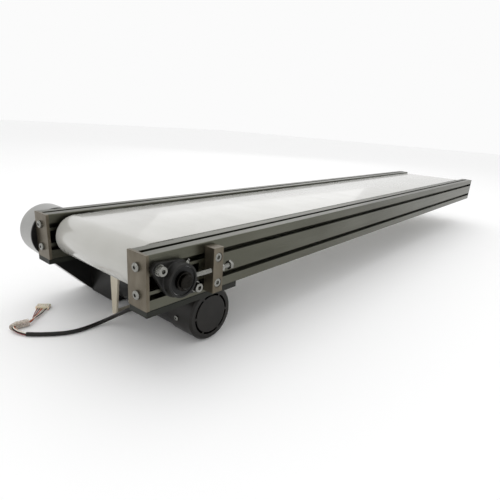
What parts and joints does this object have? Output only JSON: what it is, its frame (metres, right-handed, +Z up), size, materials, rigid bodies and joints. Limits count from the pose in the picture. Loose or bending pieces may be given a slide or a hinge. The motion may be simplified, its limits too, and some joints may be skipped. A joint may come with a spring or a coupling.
{
  "type": "belt conveyor section",
  "caption": "Flat belt conveyor section on slotted aluminium side rails, with a driven roller, an idler roller, a gear motor slung below the drive end and a guarded timing belt drive.",
  "frame": {"origin": "on the ground, under the middle of the machine's box without its motor lead", "axes": "+X along the belt from the drive end to the idler end, +Y across the belt to the guarded side, +Z up"},
  "size_m": [1.7868, 0.4008, 0.1847],
  "materials": {
    "anodised_aluminium": "satin anodised extrusion",
    "plate_aluminium": "satin milled plate",
    "white_belt": "smooth glossy PVC top cover",
    "zinc_steel": "bright zinc plated",
    "bearing_steel": "ground steel",
    "shaft_steel": "turned, oiled",
    "roller_steel": "turned steel",
    "black_cast": "black enamel on a casting",
    "motor_black": "semi-gloss black enamel",
    "cowl_black": "semi-gloss black enamel on pressed steel",
    "base_green": "dark grey-green paint",
    "bracket_light": "light grey-cream paint",
    "bed_steel": "galvanised sheet",
    "guard_silver": "silver-white powder coat",
    "back_black": "black paint on sheet",
    "black_plastic": "moulded",
    "belt_rubber": "moulded neoprene",
    "core_steel": "stacked laminations",
    "grommet_rubber": "moulded",
    "cable_pvc": "satin PVC sheath",
    "wire_pvc": "thin coloured PVC insulation",
    "clear_sleeve": "milky translucent sleeve",
    "plug_nylon": "natural nylon"
  },
  "bodies": {
    "frame": {"near_rail": "anodised_aluminium", "far_rail": "anodised_aluminium", "near_drive_end_plate": "plate_aluminium", "far_drive_end_plate": "plate_aluminium", "idler_end_plates": "black_plastic", "end_plate_screws": "zinc_steel", "slider_bed": "bed_steel", "bed_screws": "zinc_steel", "cross_members": "bed_steel", "cross_member_screws": "zinc_steel", "conveyor_belt": "white_belt", "near_bearing_housing": "black_cast", "far_bearing_housing": "black_cast", "drive_bearing_outer_rings": "bearing_steel", "idler_bearing_inner_rings": "bearing_steel", "bearing_bolts": "zinc_steel", "idler_axle": "shaft_steel", "idler_axle_blocks": "plate_aluminium", "near_tension_block": "plate_aluminium", "tension_block_screws": "zinc_steel", "far_adjuster_lug": "back_black", "lock_nut": "zinc_steel", "motor_base_plate": "base_green", "base_plate_screws": "zinc_steel", "motor_cradle": "bracket_light", "motor_housing": "motor_black", "motor_stator": "core_steel", "fan_cowl": "cowl_black", "cowl_screws": "zinc_steel", "gearbox_housing": "motor_black", "gearbox_screws": "zinc_steel", "timing_belt": "belt_rubber", "guard_back_plate": "back_black", "guard_cover": "guard_silver", "cover_screws": "zinc_steel", "cable_grommet": "grommet_rubber", "motor_cable": "cable_pvc", "lead_wires": "wire_pvc", "wire_sleeve": "clear_sleeve", "wire_plug": "plug_nylon"},
    "drive_roller": {"drive_roller_shell": "roller_steel", "drive_roller_discs": "roller_steel", "drive_shaft": "shaft_steel", "drive_bearing_inner_rings": "bearing_steel", "driven_pulley": "plate_aluminium"},
    "drive_balls": {"drive_bearing_balls": "bearing_steel"},
    "idler_roller": {"idler_roller_shell": "roller_steel", "idler_roller_discs": "roller_steel", "idler_bearing_outer_rings": "bearing_steel"},
    "idler_balls": {"idler_bearing_balls": "bearing_steel"},
    "rotor": {"motor_rotor": "core_steel", "motor_shaft": "shaft_steel", "cooling_fan": "black_plastic"},
    "cluster": {"cluster_gear": "shaft_steel"},
    "output": {"output_shaft": "shaft_steel", "drive_pulley": "plate_aluminium"},
    "near_take_up": {"near_tension_bolt": "zinc_steel"},
    "far_take_up": {"far_tension_screw": "zinc_steel"},
    "near_tail_adjuster": {"near_idler_adjuster": "zinc_steel"},
    "far_tail_adjuster": {"far_idler_adjuster": "zinc_steel"}
  },
  "joints": [
    {"name": "drive_roller_spin", "type": "hinge", "parent": "frame", "child": "drive_roller", "pos_m": [-0.801, -0.0134, 0.144], "axis": [0, 1, 0], "continuous": true},
    {"name": "drive_balls_spin", "type": "hinge", "parent": "frame", "child": "drive_balls", "pos_m": [-0.801, -0.0134, 0.144], "axis": [0, 1, 0], "continuous": true},
    {"name": "idler_roller_spin", "type": "hinge", "parent": "frame", "child": "idler_roller", "pos_m": [0.806, -0.0134, 0.144], "axis": [0, 1, 0], "continuous": true},
    {"name": "idler_balls_spin", "type": "hinge", "parent": "frame", "child": "idler_balls", "pos_m": [0.806, -0.0134, 0.144], "axis": [0, 1, 0], "continuous": true},
    {"name": "output_spin", "type": "hinge", "parent": "frame", "child": "output", "pos_m": [-0.705, 0.1366, 0.048], "axis": [0, 1, 0], "continuous": true},
    {"name": "cluster_spin", "type": "hinge", "parent": "frame", "child": "cluster", "pos_m": [-0.705, 0.1066, 0.07], "axis": [0, 1, 0], "continuous": true},
    {"name": "rotor_spin", "type": "hinge", "parent": "frame", "child": "rotor", "pos_m": [-0.705, -0.0134, 0.048], "axis": [0, 1, 0], "continuous": true},
    {"name": "near_take_up_turn", "type": "hinge", "parent": "frame", "child": "near_take_up", "pos_m": [-0.705, -0.1864, 0.144], "axis": [1, 0, 0], "range_deg": [-360, 360]},
    {"name": "far_take_up_turn", "type": "hinge", "parent": "frame", "child": "far_take_up", "pos_m": [-0.748, 0.1626, 0.144], "axis": [1, 0, 0], "range_deg": [-360, 360]},
    {"name": "near_tail_turn", "type": "hinge", "parent": "frame", "child": "near_tail_adjuster", "pos_m": [0.852, -0.1534, 0.144], "axis": [1, 0, 0], "range_deg": [-360, 360]},
    {"name": "far_tail_turn", "type": "hinge", "parent": "frame", "child": "far_tail_adjuster", "pos_m": [0.852, 0.1266, 0.144], "axis": [1, 0, 0], "range_deg": [-360, 360]}
  ],
  "couplings": [
    {"joint": "drive_balls_spin", "follows": "drive_roller_spin", "ratio": 0.4135},
    {"joint": "idler_roller_spin", "follows": "drive_roller_spin", "ratio": 1},
    {"joint": "idler_balls_spin", "follows": "drive_roller_spin", "ratio": 0.5865},
    {"joint": "output_spin", "follows": "drive_roller_spin", "ratio": 1.5},
    {"joint": "cluster_spin", "follows": "drive_roller_spin", "ratio": -4},
    {"joint": "rotor_spin", "follows": "drive_roller_spin", "ratio": 10.667}
  ]
}
